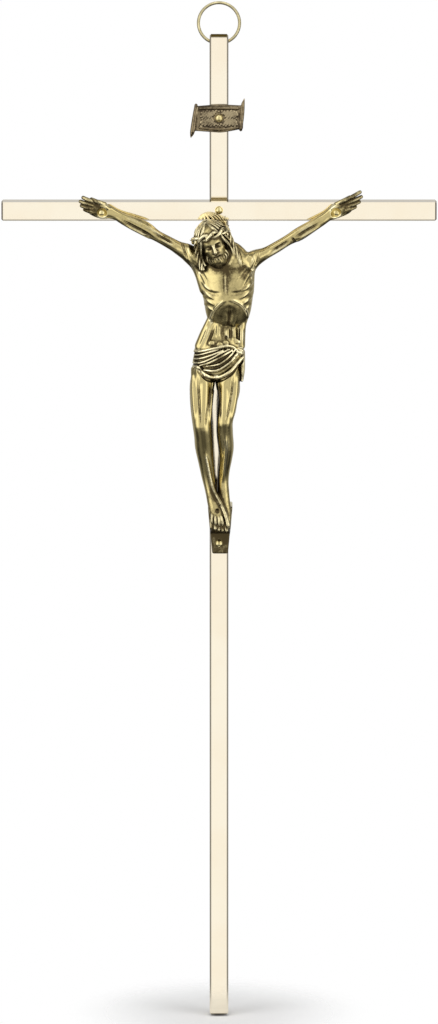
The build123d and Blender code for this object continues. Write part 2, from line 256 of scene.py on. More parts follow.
def smooth_rows(rows, steps):
    """Rows along a smooth curve through the given rows, a few steps from each to the next."""
    rows = np.array(rows, float)
    padded = np.vstack([2 * rows[0] - rows[1], rows, 2 * rows[-1] - rows[-2]])
    found = []
    for index in range(len(rows) - 1):
        before, here, after, beyond = padded[index : index + 4]
        for step in range(steps):
            t = step / steps
            bend = 2 * here + (after - before) * t
            bend += (2 * before - 5 * here + 4 * after - beyond) * t**2
            bend += (3 * here - before - 3 * after + beyond) * t**3
            found.append(bend / 2)
    found.append(rows[-1])
    return found


def limb(rows, steps=4):
    """A smooth limb through rows of x, forward, z, half across and half deep."""
    found = smooth_rows(rows, steps)
    return [tube(a, b) for a, b in zip(found, found[1:])]


def strand(points, thick, thin=None, steps=4):
    """A round strand through points, from one radius to another."""
    radii = np.linspace(thick, thick if thin is None else thin, len(points))
    return limb([(*point, radius, radius) for point, radius in zip(points, radii)], steps)


def turn_axes(roll, pitch=0.0, yaw=0.0):
    """Axes of a form rolled in the drawing's plane, then pitched forward and turned aside, in degrees."""
    r, p, y = (math.radians(angle) for angle in (roll, pitch, yaw))
    rolled = np.array([[math.cos(r), 0, math.sin(r)], [0, 1, 0], [-math.sin(r), 0, math.cos(r)]])
    pitched = np.array([[1, 0, 0], [0, math.cos(p), -math.sin(p)], [0, math.sin(p), math.cos(p)]])
    turned = np.array([[math.cos(y), math.sin(y), 0], [-math.sin(y), math.cos(y), 0], [0, 0, 1]])
    return turned @ pitched @ rolled


def egg(centre, radii, axes=None):
    """An ellipsoid, its rows of axes giving which way its three radii point."""
    centre = np.array(centre, np.float32)
    radii = np.array(radii, np.float32)
    axes = np.eye(3, dtype=np.float32) if axes is None else np.array(axes, np.float32)
    reach = np.sqrt(((axes * radii[:, None]) ** 2).sum(0))

    def distance(points):
        local = (points - centre) @ axes.T / radii
        near = np.sqrt(np.einsum("ij,ij->i", local, local))
        local /= radii
        slope = np.sqrt(np.einsum("ij,ij->i", local, local)) + np.float32(1e-6)
        return near * (near - 1) / slope

    return [(centre - reach, centre + reach, distance)]


def block(low, high, walls, soften):
    """A solid bounded by walls, each a point and an outward direction, its edges softened."""
    points = np.array([wall[0] for wall in walls], np.float32)
    out = np.array([wall[1] for wall in walls], np.float32)
    out /= np.linalg.norm(out, axis=1)[:, None]

    def distance(places):
        gaps = [(places - point) @ way for point, way in zip(points, out)]
        value = gaps[0]
        for gap in gaps[1:]:
            overlap = np.clip(soften - np.abs(value - gap), 0, None)
            value = np.maximum(value, gap) + overlap**2 / (4 * soften)
        return value

    return [(np.array(low, np.float32), np.array(high, np.float32), distance)]


class Clay:
    """A sculpture in millimetres, x across, y forward, z up, of forms added or carved in turn."""

    def __init__(self):
        self.strokes, self.forms, self.owners, self.lows, self.highs = [], [], [], [], []

    def model(self, forms, blend=0.3, cut=False):
        """Adds forms, blended into what is there, or cuts them away."""
        for low, high, distance in forms:
            self.forms.append(distance)
            self.owners.append(len(self.strokes))
            self.lows.append(np.array(low) - blend - band)
            self.highs.append(np.array(high) + blend + band)
        self.strokes.append((np.float32(blend), cut))

    def carve(self, forms, blend=0.2):
        """Cuts forms away, with softened edges."""
        self.model(forms, blend, True)

    def near(self, low, high):
        """The strokes that reach a box, in turn, each with only the forms that do."""
        inside = (np.array(self.lows) < high).all(1) & (np.array(self.highs) > low).all(1)
        found = {}
        for index in np.nonzero(inside)[0]:
            found.setdefault(self.owners[index], []).append(self.forms[index])
        return [(*self.strokes[owner], forms) for owner, forms in found.items()]

    def skin(self, places, lift=0.0):
        """Points on the front of what is modelled so far, at places of x and z, lifted off it."""
        forward = np.arange(13, -1, -0.04, dtype=np.float32)
        found = []
        for x, z in places:
            points = np.column_stack([np.full_like(forward, x), forward, np.full_like(forward, z)])
            depths = depth_in(self.near(points.min(0), points.max(0)), points)
            inside = depths < 0
            index = np.argmax(inside) if inside.any() else np.argmin(depths)
            found.append((x, float(forward[index]) + lift, z))
        return found


def depth_in(chosen, points):
    """Distance from the sculpted surface, below zero inside."""
    value = np.full(len(points), far_off, np.float32)
    for blend, cut, forms in chosen:
        shape = forms[0](points)
        for distance in forms[1:]:
            shape = np.minimum(shape, distance(points))
        overlap = np.clip(blend - np.abs(value + shape if cut else value - shape), 0, None)
        if cut:
            value = np.maximum(value, -shape) + overlap**2 / (4 * blend)
        else:
            value = np.minimum(value, shape) - overlap**2 / (4 * blend)
    return value


def main_shell(points, quads):
    """The largest closed shell alone, without the specks caught between fine forms."""
    starts = quads.ravel()
    ends = np.roll(quads, 1, axis=1).ravel()
    label = np.arange(len(points))
    while True:
        lowest = label.copy()
        np.minimum.at(lowest, starts, label[ends])
        np.minimum.at(lowest, ends, label[starts])
        lowest = lowest[lowest]
        if np.array_equal(lowest, label):
            break
        label = lowest
    shell = label[quads[:, 0]]
    used, renumbered = np.unique(quads[shell == np.bincount(shell).argmax()], return_inverse=True)
    return points[used], renumbered.reshape(-1, 4)


def cast(name, clay, low, high, voxel, origin, most_triangles, reaches=(0.25, 0.6, 1.2)):
    """Meshes a sculpture, and keeps how hollow and how raised each of its points is."""
    side = 16
    step = side * voxel
    low, high = np.array(low, float), np.array(high, float)
    counts = np.ceil((high - low) / step).astype(int)
    grid = openvdb.FloatGrid(background=1.0)
    corners = np.stack(np.meshgrid(*[np.arange(side)] * 3, indexing="ij"), -1).reshape(-1, 3)
    corners = (corners * voxel).astype(np.float32)
    for tile in np.ndindex(*counts):
        tile_low = low + np.array(tile) * step
        chosen = clay.near(tile_low, tile_low + step)
        if not chosen:
            continue
        start = tuple(int(index) * side for index in tile)
        depth = float(depth_in(chosen, (tile_low + step / 2).astype(np.float32)[None])[0])
        if abs(depth) < 1.3 * step:
            values = depth_in(chosen, corners + tile_low.astype(np.float32))
            grid.copyFromArray(np.clip(values, -1, 1).reshape(side, side, side), ijk=start)
        elif depth < 0:
            grid.fill(start, tuple(index + side - 1 for index in start), -1.0, True)
    points, _, quads = grid.convertToPolygons(isovalue=0.0, adaptivity=0.0)
    points, quads = main_shell(points, quads)
    places = points * voxel + low
    mesh = bpy.data.meshes.new(name)
    world = np.column_stack([places[:, 0], -places[:, 1], places[:, 2]]) * millimetre + np.array(origin)
    mesh.from_pydata(world.tolist(), [], quads[:, ::-1].tolist())
    made = bpy.data.objects.new(name, mesh)
    bpy.context.scene.collection.objects.link(made)
    triangles = 2 * len(quads)
    if triangles > most_triangles:
        thin = made.modifiers.new("thin", "DECIMATE")
        thin.ratio = most_triangles / triangles
        thinned = bpy.data.meshes.new_from_object(made.evaluated_get(bpy.context.evaluated_depsgraph_get()))
        made.modifiers.clear()
        made.data = thinned
        bpy.data.meshes.remove(mesh)
        mesh = thinned
        mesh.name = name
    mesh.shade_smooth()
    note_relief(mesh, clay, low, step, np.array(origin), reaches)
    return made


def note_relief(mesh, clay, low, step, origin, reaches):
    """Writes each point's hollow and ridge, from the depth a little outside and inside the surface."""
    count = len(mesh.vertices)
    places = np.zeros(count * 3, np.float32)
    ways = np.zeros(count * 3, np.float32)
    mesh.vertices.foreach_get("co", places)
    mesh.vertex_normals.foreach_get("vector", ways)
    places = ((places.reshape(-1, 3) - origin) / millimetre * (1, -1, 1)).astype(np.float32)
    ways = ways.reshape(-1, 3) * np.array((1, -1, 1), np.float32)
    hollow = np.zeros(count, np.float32)
    ridge = np.zeros(count, np.float32)
    tiles = np.floor((places - low) / step).astype(int)
    order = np.lexsort(tiles.T)
    cuts = np.nonzero(np.any(np.diff(tiles[order], axis=0), axis=1))[0] + 1
    for members in np.split(order, cuts):
        here, way = places[members], ways[members]
        chosen = clay.near(here.min(0) - max(reaches), here.max(0) + max(reaches))
        samples = [here + way * reach * sign for reach in reaches for sign in (1, -1)]
        depths = depth_in(chosen, np.vstack(samples)).reshape(len(reaches), 2, -1)
        for (outside, inside), reach in zip(depths, reaches):
            hollow[members] += np.clip(1 - outside / reach, 0, 1) / len(reaches)
            ridge[members] += np.clip(1 + inside / reach, 0, 1) / len(reaches)
    for name, values in (("hollow", hollow), ("ridge", ridge)):
        mesh.attributes.new(name, "FLOAT", "POINT").data.foreach_set("value", values)


def antique_brass(name, bright, rubbed, dark, hollow_start, hollow_full):
    """Cast brass, blackened and then rubbed back: dark in the hollows, bright on what stands proud, and
    darker still where painted shade is laid on.
    """
    material, tree, shader, place = new_brass(name)
    hollow = put(tree, "ShaderNodeAttribute", attribute_name="hollow").outputs["Fac"]
    ridge = put(tree, "ShaderNodeAttribute", attribute_name="ridge").outputs["Fac"]
    # This attribute carries leftover blacking and painted shade together; both darken the brass here.
    patina_and_shade = put(tree, "ShaderNodeAttribute", attribute_name="patina_and_shade").outputs["Fac"]
    blacking_and_shade = compute(tree, "ADD", hollow, patina_and_shade)
    uneven = compute(tree, "MULTIPLY_ADD", mottle(tree, place, 420.0), 0.16, blacking_and_shade)
    stain_and_shade = compute(tree, "MULTIPLY_ADD", mottle(tree, place, 2200.0), 0.10, uneven)
    worn = level(tree, ridge, 0.12, 0.45, kind="SMOOTHSTEP")
    shine = compute(tree, "MULTIPLY", worn, level(tree, patina_and_shade, 0.0, 0.3, 1.0, 0.3))
    blacking_and_shade_left = compute(tree, "MULTIPLY_ADD", shine, -0.14, stain_and_shade)
    black = level(tree, blacking_and_shade_left, hollow_start, hollow_full, kind="SMOOTHSTEP")
    sockets = {"Vector": place, "Scale": 5200.0, "Detail": 4.0}
    grain = put(tree, "ShaderNodeTexNoise", sockets).outputs["Fac"]
    finish = {
        "Base Color": mix(tree, black, mix(tree, shine, bright, rubbed), dark),
        "Roughness": level(tree, stain_and_shade, 0.0, 0.8, 0.16, 0.42),
        "Normal": bumps(tree, grain, 0.06, 0.05),
    }
    join(tree, shader, finish)
    return material


rivet_low, rivet_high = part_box("titulus_rivet")
plate_origin = Vector((0, upright_low.y, (rivet_low.z + rivet_high.z) / 2))
plate_thick = 1.0
plate_walls = (
    ((0, 0, 0), (0, -1, 0)),
    ((0, plate_thick, 0), (0, 1, 0)),
    ((-6.5, 0, -3.6), (-1, 0, 0.14)),
    ((6.0, 0, 0), (1, 0, 0.03)),
    ((0.7, 0, -3.75), (-0.07, 0, -1)),
    ((0.7, 0, -3.75), (0.19, 0, -1)),
    ((0, 0, 3.5), (-0.08, 0, 1)),
    ((0, 0, 3.5), (0.05, 0, 1)),
)
plate = Clay()
plate.model(block((-7.2, -0.1, -4.5), (7.2, 1.4, 4.5), plate_walls, 0.3), 0.2)
# Rolled ends, each with a crease where the strip turns into the roll
left_roll = (
    (-5.8, 0.6, 3.3, 0.4, 0.4),
    (-6.2, 0.8, 0.0, 0.6, 0.6),
    (-6.7, 0.8, -3.4, 0.6, 0.6),
    (-7.1, 0.5, -4.9, 0.15, 0.15),
)
right_roll = (
    (5.5, 0.6, -3.0, 0.4, 0.4),
    (5.8, 0.8, 0.5, 0.55, 0.55),
    (6.0, 0.8, 3.2, 0.5, 0.5),
    (6.4, 0.5, 4.9, 0.12, 0.12),
)
plate.model(limb(left_roll), 0.15)
plate.model(limb(right_roll), 0.15)
plate.carve(strand([(-5.75, 1.3, -3.9), (-5.45, 1.3, -1.0), (-5.0, 1.2, 2.9)], 0.22), 0.12)
plate.carve(strand([(4.85, 1.2, -2.9), (5.05, 1.3, 1.0), (5.3, 1.3, 3.6)], 0.22), 0.12)
# Raised border lines, and the pebbles of the ground, spread evenly and clear of the rivet
for border, rise in ((2.55, 0.05), (-2.55, -0.25)):
    line = [(x, plate_thick, border + rise * math.cos(x / 2)) for x in np.linspace(-4.8, 4.7, 9)]
    plate.model(strand(line, 0.24), 0.2)
field_half = (4.5, 2.0)
pebbles = 130
golden_share = (math.sqrt(5) - 1) / 2
for index in range(pebbles):
    x = field_half[0] * (2 * (index + 0.5) / pebbles - 1)
    z = field_half[1] * (2 * ((index * golden_share) % 1) - 1)
    size = 0.24 + 0.16 * math.sin(2.4 * index) ** 2
    if math.hypot(x, z) > 1.6:
        plate.model(egg((x, plate_thick, z), (size, 0.16, size * 1.2)), 0.1)
quick_scale = 1.0
plate_low = (-8, -0.63, -5.6)
plate_high = (7.6, 2.4, 6)
plate_reaches = (0.1, 0.2, 0.35)
titulus = cast(
    "scroll_plate", plate, plate_low, plate_high, 0.08 * quick_scale, plate_origin, 60000, plate_reaches
)
titulus.data.materials.append(
    antique_brass("antique_plate", srgb(140, 125, 97), srgb(186, 170, 136), srgb(72, 62, 48), 0.07, 0.3)
)
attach(titulus, "cross")
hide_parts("titulus")

# Corpus
# The figure with its foot block is one brass casting, blackened and rubbed back. Each hand is riveted
# to the crossbar in a drilled recess, and the block under the feet is riveted to the upright.
corpus_origin = Vector((0, crossbar_low.y, (crossbar_low.z + crossbar_high.z) / 2))
body = Clay()

# Trunk: rows of x, forward, z, half across, half deep
trunk_rows = (
    (1.0, 3.6, -11.0, 4.6, 2.6),
    (1.9, 4.0, -13.2, 6.3, 3.8),
    (2.3, 4.2, -16.0, 6.3, 4.5),
    (2.4, 4.3, -19.3, 6.05, 4.6),
    (2.4, 4.3, -21.5, 6.0, 4.4),
    (2.3, 4.1, -23.5, 5.85, 3.7),
    (2.2, 3.7, -25.5, 5.3, 3.1),
    (1.85, 3.4, -27.8, 4.8, 2.7),
    (1.3, 3.5, -29.6, 5.0, 3.1),
    (0.7, 3.7, -31.6, 5.5, 3.6),
    (0.2, 4.0, -33.6, 5.9, 4.0),
    (0.0, 4.2, -35.4, 6.2, 4.2),
    (-0.2, 4.3, -37.2, 5.2, 4.0),
)
body.model(limb(trunk_rows))
# Rib cage, breast muscles, and the belly drawn in under the arch of the ribs
body.model(egg((-1.0, 3.5, -18.4), (3.4, 4.1, 7.4), turn_axes(4)), 0.8)
body.model(egg((5.2, 4.0, -18.6), (3.4, 4.1, 7.4), turn_axes(-3)), 0.8)
body.model(egg((-1.2, 6.6, -16.0), (4.2, 1.2, 3.7), turn_axes(8, 0, 27)), 0.4)
body.model(egg((5.0, 7.15, -16.2), (3.2, 1.2, 3.6), turn_axes(-8, 0, -14)), 0.4)
body.carve(egg((2.6, 9.3, -25.6), (4.2, 1.9, 4.1), turn_axes(-4, 21)), 0.3)
body.model(strand([(-2.4, 4.9, -27.2), (-3.6, 5.2, -30.0), (-4.9, 5.6, -33.4)], 0.9, 1.2), 0.6)
body.model(strand([(6.0, 4.4, -27.4), (5.7, 5.2, -30.2), (5.5, 5.6, -33.4)], 0.9, 1.1), 0.6)

# Arms with their palms: rows of x, forward, z, half across, half deep
left_arm_rows = (
    (-4.6, 3.6, -11.6, 2.6, 2.9),
    (-6.6, 3.7, -10.6, 2.35, 2.6),
    (-8.1, 3.6, -9.6, 2.05, 2.2),
    (-10.3, 3.3, -8.6, 1.62, 1.8),
    (-12.9, 2.9, -7.2, 1.45, 1.55),
    (-15.9, 2.6, -5.6, 1.42, 1.45),
    (-18.7, 2.4, -3.9, 1.86, 1.65),
    (-21.7, 2.1, -2.6, 1.7, 1.5),
    (-24.2, 1.8, -1.5, 1.38, 1.2),
    (-26.0, 1.5, -0.6, 1.25, 1.05),
    (-27.8, 1.3, 0.1, 1.6, 1.05),
    (-29.5, 1.2, 0.5, 2.1, 1.05),
    (-31.4, 1.2, 1.1, 1.95, 0.95),
    (-32.2, 1.2, 1.6, 1.6, 0.8),
)
right_arm_rows = (
    (5.6, 3.6, -13.2, 2.6, 2.9),
    (7.6, 3.7, -12.2, 2.35, 2.6),
    (9.3, 3.6, -11.1, 2.0, 2.2),
    (11.8, 3.3, -10.0, 1.5, 1.75),
    (14.6, 2.9, -8.5, 1.4, 1.5),
    (17.6, 2.6, -6.7, 1.35, 1.4),
    (20.2, 2.4, -5.3, 1.68, 1.55),
    (23.2, 2.1, -3.5, 1.55, 1.4),
    (26.0, 1.8, -1.8, 1.37, 1.15),
    (27.5, 1.5, -0.8, 1.35, 1.05),
    (29.0, 1.3, 0.1, 1.75, 1.05),
    (29.9, 1.2, 0.6, 1.95, 1.05),
    (31.8, 1.2, 1.4, 1.9, 0.95),
    (32.6, 1.2, 2.0, 1.6, 0.8),
)
body.model(limb(left_arm_rows), 0.7)
body.model(limb(right_arm_rows), 0.7)
# Shoulder muscles and the fold that runs from each arm down to the breast
body.model(strand([(-6.4, 5.2, -10.2), (-8.6, 5.0, -9.0), (-11.0, 4.3, -7.9)], 0.9, 0.5), 0.5)
body.model(strand([(7.8, 5.2, -11.6), (9.8, 5.0, -10.6), (12.4, 4.3, -9.3)], 0.9, 0.5), 0.5)
for side_fold in (
    [(-10.4, 3.2, -9.2), (-7.3, 3.9, -11.6), (-5.2, 4.2, -14.6), (-3.6, 4.4, -19.0)],
    [(11.0, 3.2, -10.6), (8.7, 3.9, -12.6), (7.7, 4.2, -15.4), (7.2, 4.4, -19.4)],
):
    body.model(strand(side_fold, 0.8, 1.4), 0.8)


def along_skin(line, lift, dip):
    """Points along the front of what is modelled, given by x and z, that dip at both ends."""
    places = body.skin(smooth_rows(line, 4), lift)
    for index, share in enumerate((1.0, 0.5, 0.15)):
        for end in (index, -1 - index):
            x, forward, z = places[end]
            places[end] = (x, forward - dip * share, z)
    return places


def ridges(lines, thick, sink, blend=0.3):
    """Raised cords that follow the front of what is modelled and fade into it."""
    for line in lines:
        body.model(strand(along_skin(line, -sink, thick), thick, steps=1), blend)


def grooves(lines, thick, rise, blend=0.3):
    """Furrows along the front of what is modelled that run out at both ends."""
    for line in lines:
        body.carve(strand(along_skin(line, rise, -thick), thick, steps=1), blend)


# Breastbone, collar bones, ribs and the arch over the belly
grooves(([(1.5, -13.4), (1.65, -17.0), (1.9, -20.6)],), 0.6, 0.3, 0.4)
ridges(([(1.6, -13.6), (1.65, -17.0), (1.8, -20.4)],), 0.3, 0.0, 0.15)
collar_bones = (
    [(0.8, -12.7), (-1.8, -12.2), (-4.8, -11.2)],
    [(2.0, -12.9), (4.8, -12.6), (7.4, -12.0)],
)
ridges(collar_bones, 0.42, 0.22, 0.5)
under_breasts = (
    [(-3.6, -18.6), (-1.6, -19.6), (0.4, -19.4)],
    [(2.9, -19.3), (5.0, -19.4), (7.0, -18.4)],
)
grooves(under_breasts, 0.5, 0.34, 0.5)
before_armpits = (
    [(-7.6, -10.6), (-6.4, -13.0), (-5.1, -15.4)],
    [(9.0, -12.0), (8.4, -14.0), (8.0, -16.4)],
)
ridges(before_armpits, 0.4, 0.15)
breast_fan = (
    [(8.2, -12.4), (5.8, -14.0), (3.6, -16.8)],
    [(8.6, -13.8), (7.0, -15.4), (5.4, -18.2)],
    [(-7.0, -11.6), (-4.4, -13.4), (-2.2, -16.2)],
    [(-6.2, -13.2), (-4.2, -15.2), (-2.8, -18.0)],
)
ridges(breast_fan, 0.42, 0.24, 0.3)
ribs = (
    [(-4.2, -16.8), (-3.2, -18.0), (-1.8, -18.9)],
    [(-3.9, -19.0), (-2.7, -20.1), (-1.0, -20.9)],
    [(-3.7, -20.9), (-2.4, -21.8), (-0.8, -22.5)],
    [(-3.4, -22.8), (-2.2, -23.5), (-1.2, -24.0)],
    [(8.4, -16.9), (7.0, -18.1), (5.3, -19.0)],
    [(8.2, -18.8), (6.6, -19.9), (4.9, -20.8)],
    [(8.0, -20.8), (6.8, -21.6), (5.4, -22.4)],
    [(7.8, -22.7), (7.0, -23.4), (6.3, -24.0)],
)
ridges(ribs, 0.4, 0.16, 0.25)
arch = (
    [(1.9, -21.0), (0.5, -21.9), (-1.0, -23.6), (-1.9, -25.8), (-2.0, -27.6)],
    [(2.4, -21.0), (3.9, -21.3), (5.6, -22.4), (6.9, -24.4), (7.2, -26.2)],
)
ridges(arch, 0.36, 0.1, 0.25)
# Belly: its middle seam, straight muscles with furrows between them, bulges over the cloth, and navel
grooves(([(2.6, -22.6), (2.6, -25.6), (2.2, -28.6), (1.8, -30.0)],), 0.3, 0.18)
beside_seam = (
    [(1.3, -23.6), (1.5, -26.0), (1.0, -29.0)],
    [(3.9, -23.4), (3.8, -26.0), (3.4, -29.0)],
)
ridges(beside_seam, 0.7, 0.5, 0.5)
belly_lines = (
    [(-0.2, -27.6), (-0.2, -29.6), (-0.4, -31.6)],
    [(2.1, -28.4), (2.1, -30.0), (1.9, -31.6)],
    [(3.8, -28.2), (3.8, -30.0), (3.9, -31.6)],
    [(5.8, -28.4), (5.7, -31.0), (5.6, -33.6)],
    [(-2.3, -27.6), (-3.5, -30.9), (-5.1, -34.4)],
)
ridges(belly_lines, 0.55, 0.2, 0.2)
belly_furrows = (
    [(0.9, -28.2), (0.9, -29.8), (0.8, -31.8)],
    [(3.0, -28.2), (3.0, -29.8), (2.9, -31.6)],
    [(4.9, -28.4), (4.9, -30.4), (4.8, -32.4)],
    [(-1.3, -28.0), (-2.0, -30.4), (-3.3, -33.2)],
)
grooves(belly_furrows, 0.34, 0.08, 0.25)
for x, z in ((-1.9, -32.4), (0.2, -32.7), (1.7, -32.3), (4.4, -32.2)):
    body.model(egg(body.skin([(x, z)], -0.1)[0], (0.9, 0.55, 0.75)), 0.2)
body.carve(egg(body.skin([(1.8, -30.9)])[0], (0.32, 0.35, 0.4)), 0.2)
# Upper arm and forearm muscles, each pair with a furrow between them
arm_cords = (
    [(-10.6, -8.6), (-13.2, -7.1), (-15.4, -5.9)],
    [(-19.4, -2.8), (-17.4, -3.6), (-15.4, -5.0), (-13.6, -6.5)],
    [(-18.6, -3.0), (-20.8, -2.0), (-24.4, -0.6)],
    [(-17.6, -6.0), (-20.0, -4.7), (-24.4, -2.4)],
    [(-8.0, -7.8), (-7.2, -9.6), (-6.1, -11.8)],
    [(11.6, -11.0), (15.0, -9.0), (18.4, -6.9)],
    [(19.0, -4.9), (21.6, -3.5), (25.6, -1.2)],
    [(19.6, -6.6), (22.0, -5.2), (25.8, -2.9)],
    [(8.8, -9.8), (8.6, -11.4), (7.6, -13.4)],
)
ridges(arm_cords, 0.42, 0.16, 0.2)
arm_furrows = (
    [(-11.4, -7.4), (-14.0, -6.0), (-16.4, -4.6)],
    [(-17.4, -5.2), (-20.4, -3.6), (-25.0, -1.3)],
    [(-19.6, -4.2), (-17.8, -5.1), (-16.5, -6.2)],
    [(-9.4, -6.8), (-8.8, -8.8), (-8.1, -11.0)],
    [(12.6, -9.6), (15.4, -8.0), (18.2, -6.2)],
    [(18.9, -6.0), (21.8, -4.3), (26.2, -1.8)],
    [(18.4, -5.9), (18.9, -6.6), (19.5, -7.5)],
    [(10.0, -9.6), (9.8, -11.4), (9.2, -13.0)],
)
grooves(arm_furrows, 0.3, 0.04, 0.14)
# Balls of the thumbs, and fingers bent a little forward: root and tip, x and z
body.model(egg((-28.9, 1.9, 1.6), (1.5, 0.7, 0.65), turn_axes(-24)), 0.3)
body.model(egg((29.4, 1.9, 1.6), (1.5, 0.7, 0.65), turn_axes(24)), 0.3)
finger_roots_and_tips = (
    (-31.2, 2.6, -34.3, 3.9),
    (-31.6, 1.8, -35.0, 2.9),
    (-31.7, 0.9, -34.7, 1.8),
    (-31.5, 0.1, -33.9, 0.8),
    (-28.9, 2.2, -32.2, 3.5),
    (31.4, 2.8, 35.6, 5.3),
    (31.9, 2.1, 35.9, 4.1),
    (32.0, 1.3, 35.4, 2.8),
    (31.8, 0.5, 34.4, 1.5),
    (29.6, 2.2, 33.0, 4.0),
)
for root_x, root_z, tip_x, tip_z in finger_roots_and_tips:
    knuckle = (root_x * 0.5 + tip_x * 0.5, 2.2, root_z * 0.45 + tip_z * 0.55)
    body.model(strand([(root_x, 1.5, root_z), knuckle, (tip_x, 1.5, tip_z)], 0.6, 0.48, 3), 0.08)

# Legs: rows of x, forward, z, half across, half deep
left_leg_rows = (
    (-2.9, 4.3, -37.0, 2.1, 2.5),
    (-3.7, 4.7, -40.1, 2.8, 3.1),
    (-4.2, 5.0, -43.1, 3.15, 3.3),
    (-4.55, 5.6, -46.5, 2.85, 3.2),
    (-4.4, 6.4, -49.9, 2.75, 3.0),
    (-4.2, 7.0, -53.4, 2.5, 2.75),
    (-3.9, 6.2, -56.5, 2.4, 2.6),
    (-3.7, 5.2, -59.5, 2.38, 2.55),
    (-3.25, 4.3, -63.3, 2.05, 2.2),
    (-2.7, 3.7, -67.3, 1.75, 1.8),
    (-2.1, 3.6, -71.0, 1.45, 1.6),
    (-1.0, 4.2, -74.4, 1.9, 1.5),
    (0.0, 4.8, -77.2, 2.2, 1.2),
)
right_leg_rows = (
    (2.7, 4.3, -37.0, 2.1, 2.5),
    (2.4, 4.6, -40.6, 3.0, 3.0),
    (2.2, 4.9, -42.8, 3.1, 3.1),
    (2.4, 5.1, -44.9, 2.9, 3.15),
    (2.2, 5.7, -47.3, 2.5, 3.0),
    (1.9, 6.4, -49.7, 2.4, 2.8),
    (1.45, 7.0, -52.4, 2.1, 2.6),
    (1.45, 6.0, -55.8, 2.1, 2.5),
    (1.75, 4.8, -59.6, 2.0, 2.4),
    (1.65, 3.9, -62.7, 1.7, 2.1),
    (1.25, 3.0, -65.9, 1.5, 1.7),
    (1.0, 2.4, -69.1, 1.45, 1.5),
    (1.1, 2.6, -73.0, 1.6, 1.3),
    (1.2, 3.3, -77.4, 1.9, 1.1),
    (1.0, 3.9, -80.1, 1.8, 0.7),
)
body.model(limb(right_leg_rows), 0.2)
body.model(limb(left_leg_rows), 0.2)
# Thigh muscles with furrows between them, kneecaps and shin bones
thigh_cords = (
    (0.8, [(-6.3, -39.6), (-6.2, -46.0), (-5.6, -52.6)]),
    (1.3, [(-3.6, -40.6), (-3.8, -46.0), (-4.0, -53.0)]),
    (0.7, [(-1.9, -45.0), (-2.3, -48.5), (-2.7, -53.0)]),
    (1.2, [(1.5, -41.6), (1.5, -46.5), (1.2, -52.0)]),
    (0.9, [(4.3, -40.4), (3.9, -46.0), (2.6, -52.4)]),
)
for thick, line in thigh_cords:
    ridges((line,), thick, 0.58 * thick, 0.2)
thigh_furrows = (
    [(-5.3, -41.0), (-5.1, -46.0), (-4.8, -50.0), (-4.5, -53.4)],
    [(-1.5, -42.4), (-2.3, -46.0), (-3.0, -49.5), (-3.4, -53.4)],
    [(-0.1, -42.8), (0.2, -46.0), (0.4, -50.0), (0.4, -53.0)],
    [(3.6, -41.0), (3.1, -45.5), (2.5, -49.0), (1.6, -52.6)],
)
grooves(thigh_furrows, 0.26, 0.0, 0.12)
for knee in ((-4.6, 8.3, -52.8), (1.3, 8.3, -52.2)):
    body.model(egg(knee, (1.5, 1.1, 1.9)), 0.7)
crest_rows = (
    (-4.3, 7.0, -56.2, 0.5, 0.9),
    (-3.9, 6.6, -58.8, 0.4, 1.1),
    (-2.9, 6.1, -63.3, 0.4, 1.2),
    (-2.1, 5.6, -67.5, 0.4, 1.2),
    (-1.3, 5.3, -70.8, 0.42, 1.1),
    (0.4, 5.2, -74.2, 0.5, 0.9),
)
body.model(limb(crest_rows), 0.35)
ridges(([(1.4, -55.2), (1.8, -59.6), (1.4, -64.0), (1.0, -68.6)],), 0.42, 0.1, 0.3)
# Feet: the upper one's toes, the ends of the lower one's, and the nail's pit
toes = (
    (0.55, (0.4, 5.5, -74.2), (1.5, 6.0, -76.6), (2.3, 6.1, -79.6)),
    (0.46, (0.45, 5.5, -76.8), (0.75, 6.1, -78.0), (0.95, 6.0, -79.3)),
    (0.46, (-0.25, 5.5, -77.0), (0.0, 6.1, -78.1), (0.1, 6.0, -79.3)),
    (0.44, (-1.05, 5.4, -77.0), (-0.9, 6.0, -78.0), (-0.8, 5.9, -79.1)),
    (0.42, (-1.8, 5.2, -76.9), (-1.75, 5.8, -77.8), (-1.7, 5.7, -78.8)),
)
for thick, *places in toes:
    body.model(strand(places, 0.36, thick, 3), 0.15)
for tip_x, tip_z in ((-0.9, -80.7), (0.0, -81.0), (0.95, -81.2), (1.9, -81.2)):
    body.model(strand([(tip_x * 0.8, 4.2, -78.6), (tip_x, 4.7, tip_z)], 0.5, 0.44, 2), 0.15)
nail = body.skin([(-0.4, -76.0)])[0]
body.carve(egg(nail, (0.45, 0.35, 0.55)), 0.25)

# Loincloth: drawn round the hips in folds that gather at the right hip, with a rolled hem in front
body.model(egg((-0.3, 4.4, -36.6), (6.4, 4.2, 3.5), turn_axes(10)), 0.6)
body.model(egg((5.2, 6.4, -34.7), (1.1, 1.2, 1.0)), 0.35)
tail_rows = ((5.8, 4.6, -35.2, 0.8, 1.5), (6.0, 4.6, -39.5, 0.6, 1.5), (5.75, 4.4, -42.4, 0.45, 1.2))
behind_tail_rows = ((4.9, 3.2, -36.0, 1.3, 1.6), (5.0, 3.4, -39.5, 1.1, 1.5), (4.9, 3.4, -42.0, 0.8, 1.2))
body.model(limb(tail_rows), 0.2)
body.model(limb(behind_tail_rows), 0.2)
body.carve(strand([(5.9, 6.2, -36.4), (6.1, 6.2, -39.6), (5.9, 5.8, -42.2)], 0.25), 0.2)
hem = [(-5.3, -38.7), (-3.4, -40.5), (-1.2, -41.3), (0.7, -40.9), (3.0, -39.5), (4.7, -37.6), (5.9, -36.3)]
